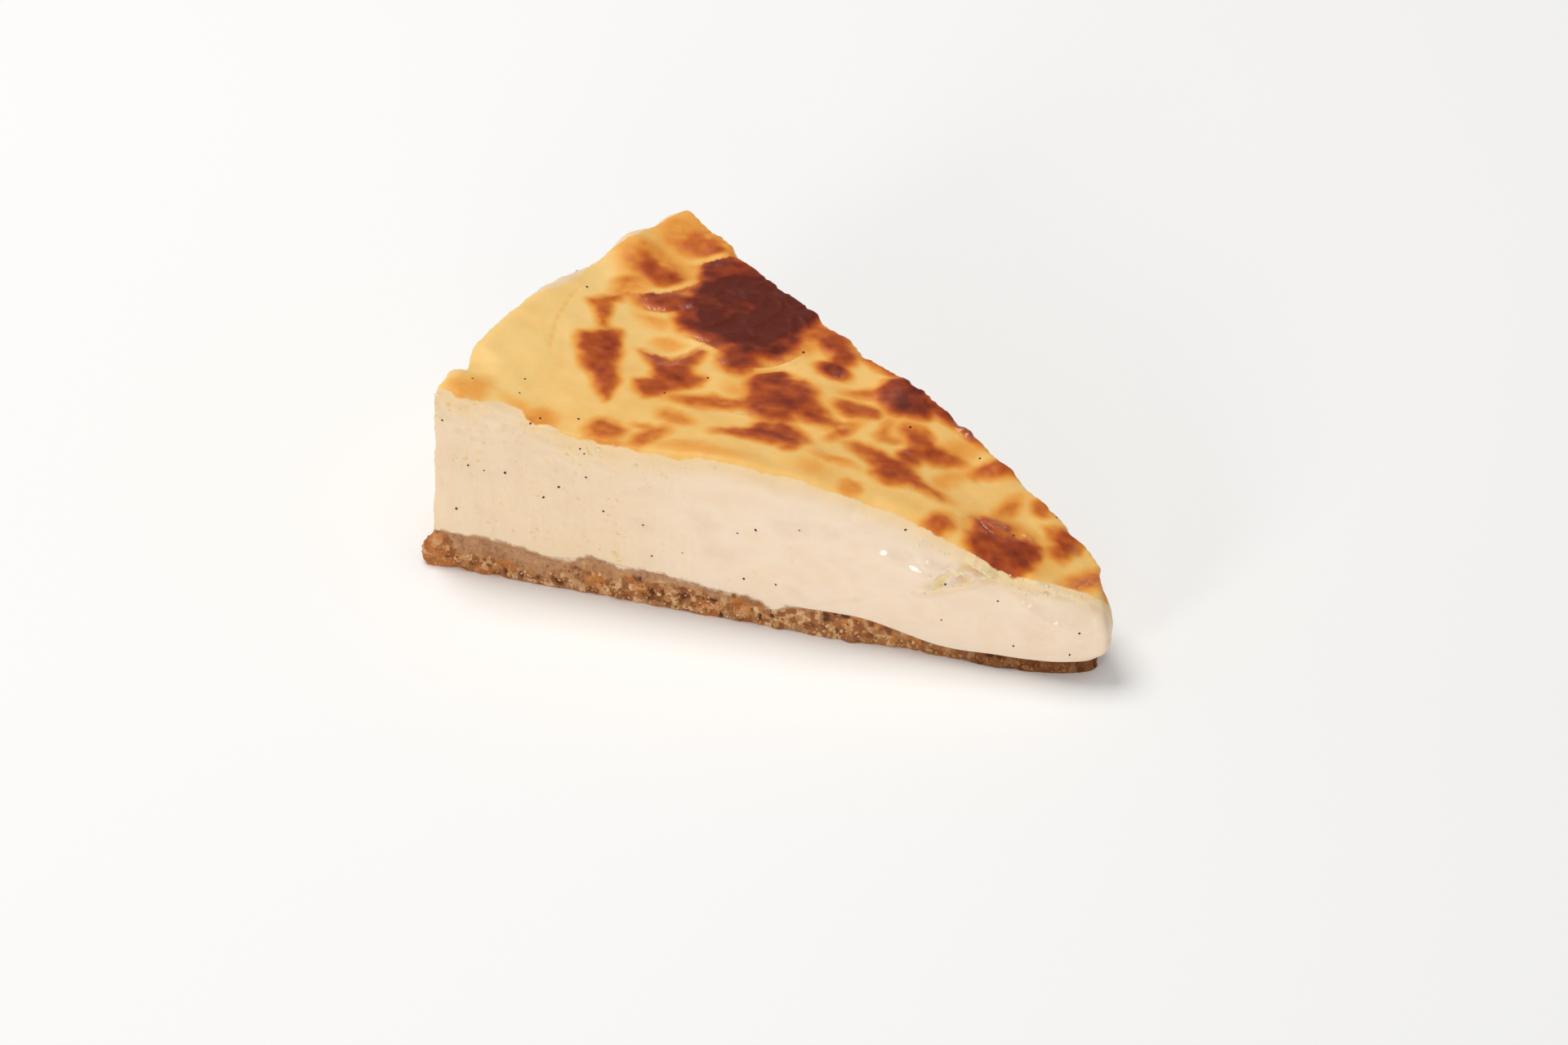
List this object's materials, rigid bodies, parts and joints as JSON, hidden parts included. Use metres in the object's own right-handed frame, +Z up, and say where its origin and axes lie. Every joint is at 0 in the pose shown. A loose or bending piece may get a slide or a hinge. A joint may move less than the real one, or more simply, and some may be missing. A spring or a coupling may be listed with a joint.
{
  "type": "cheesecake slice",
  "caption": "Wedge of baked vanilla cheesecake as cut, with a browned, blistered top that dips to a blunt tip, on a thin pressed biscuit base.",
  "frame": {"origin": "on the ground, below the middle of the slice's box", "axes": "+X from the round rim to the blunt tip, +Y to the back cut, +Z up from the base to the browned top"},
  "size_m": [0.1195, 0.075, 0.0367],
  "materials": {
    "baked_cheese": "moist cream-coloured cut, with a satin yellow skin browned in patches",
    "biscuit": "dull pressed biscuit crumb"
  },
  "bodies": {
    "root": {"cheese_filling": "baked_cheese", "biscuit_base": "biscuit"}
  },
  "joints": []
}
